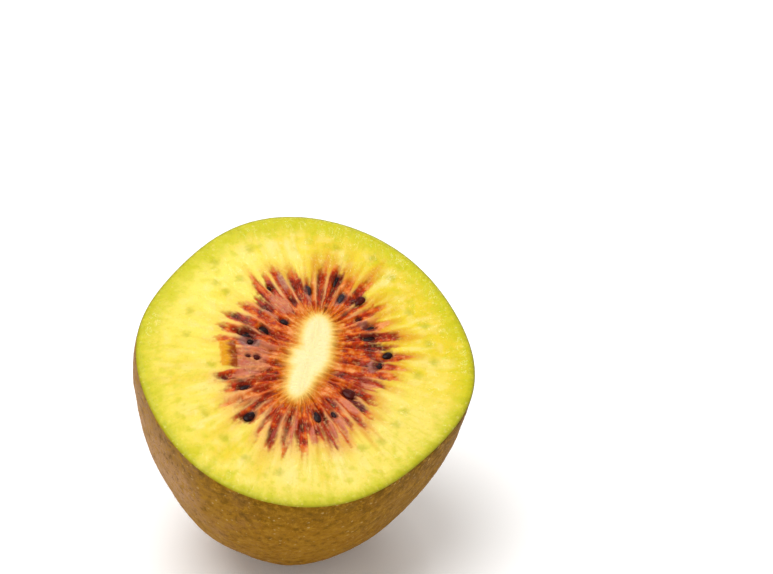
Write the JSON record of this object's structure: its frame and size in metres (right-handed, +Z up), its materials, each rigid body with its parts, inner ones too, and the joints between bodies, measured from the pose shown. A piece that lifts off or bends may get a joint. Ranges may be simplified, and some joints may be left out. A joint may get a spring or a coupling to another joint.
{
  "type": "kiwi fruit half",
  "caption": "Half of a red-fleshed kiwi fruit, cut across the middle, leaning on a small flat spot beside its stem end with the cut face up.",
  "frame": {"origin": "middle of the flattened spot of skin that the half rests on", "axes": "+Z up as it rests; the cut face looks up and leans towards -Y, a little towards +X"},
  "size_m": [0.0474, 0.0507, 0.0422],
  "materials": {
    "skin": "matt, with short down",
    "flesh": "wet",
    "seeds": "glossy"
  },
  "bodies": {
    "root": {"kiwi_half": "skin"}
  },
  "joints": []
}
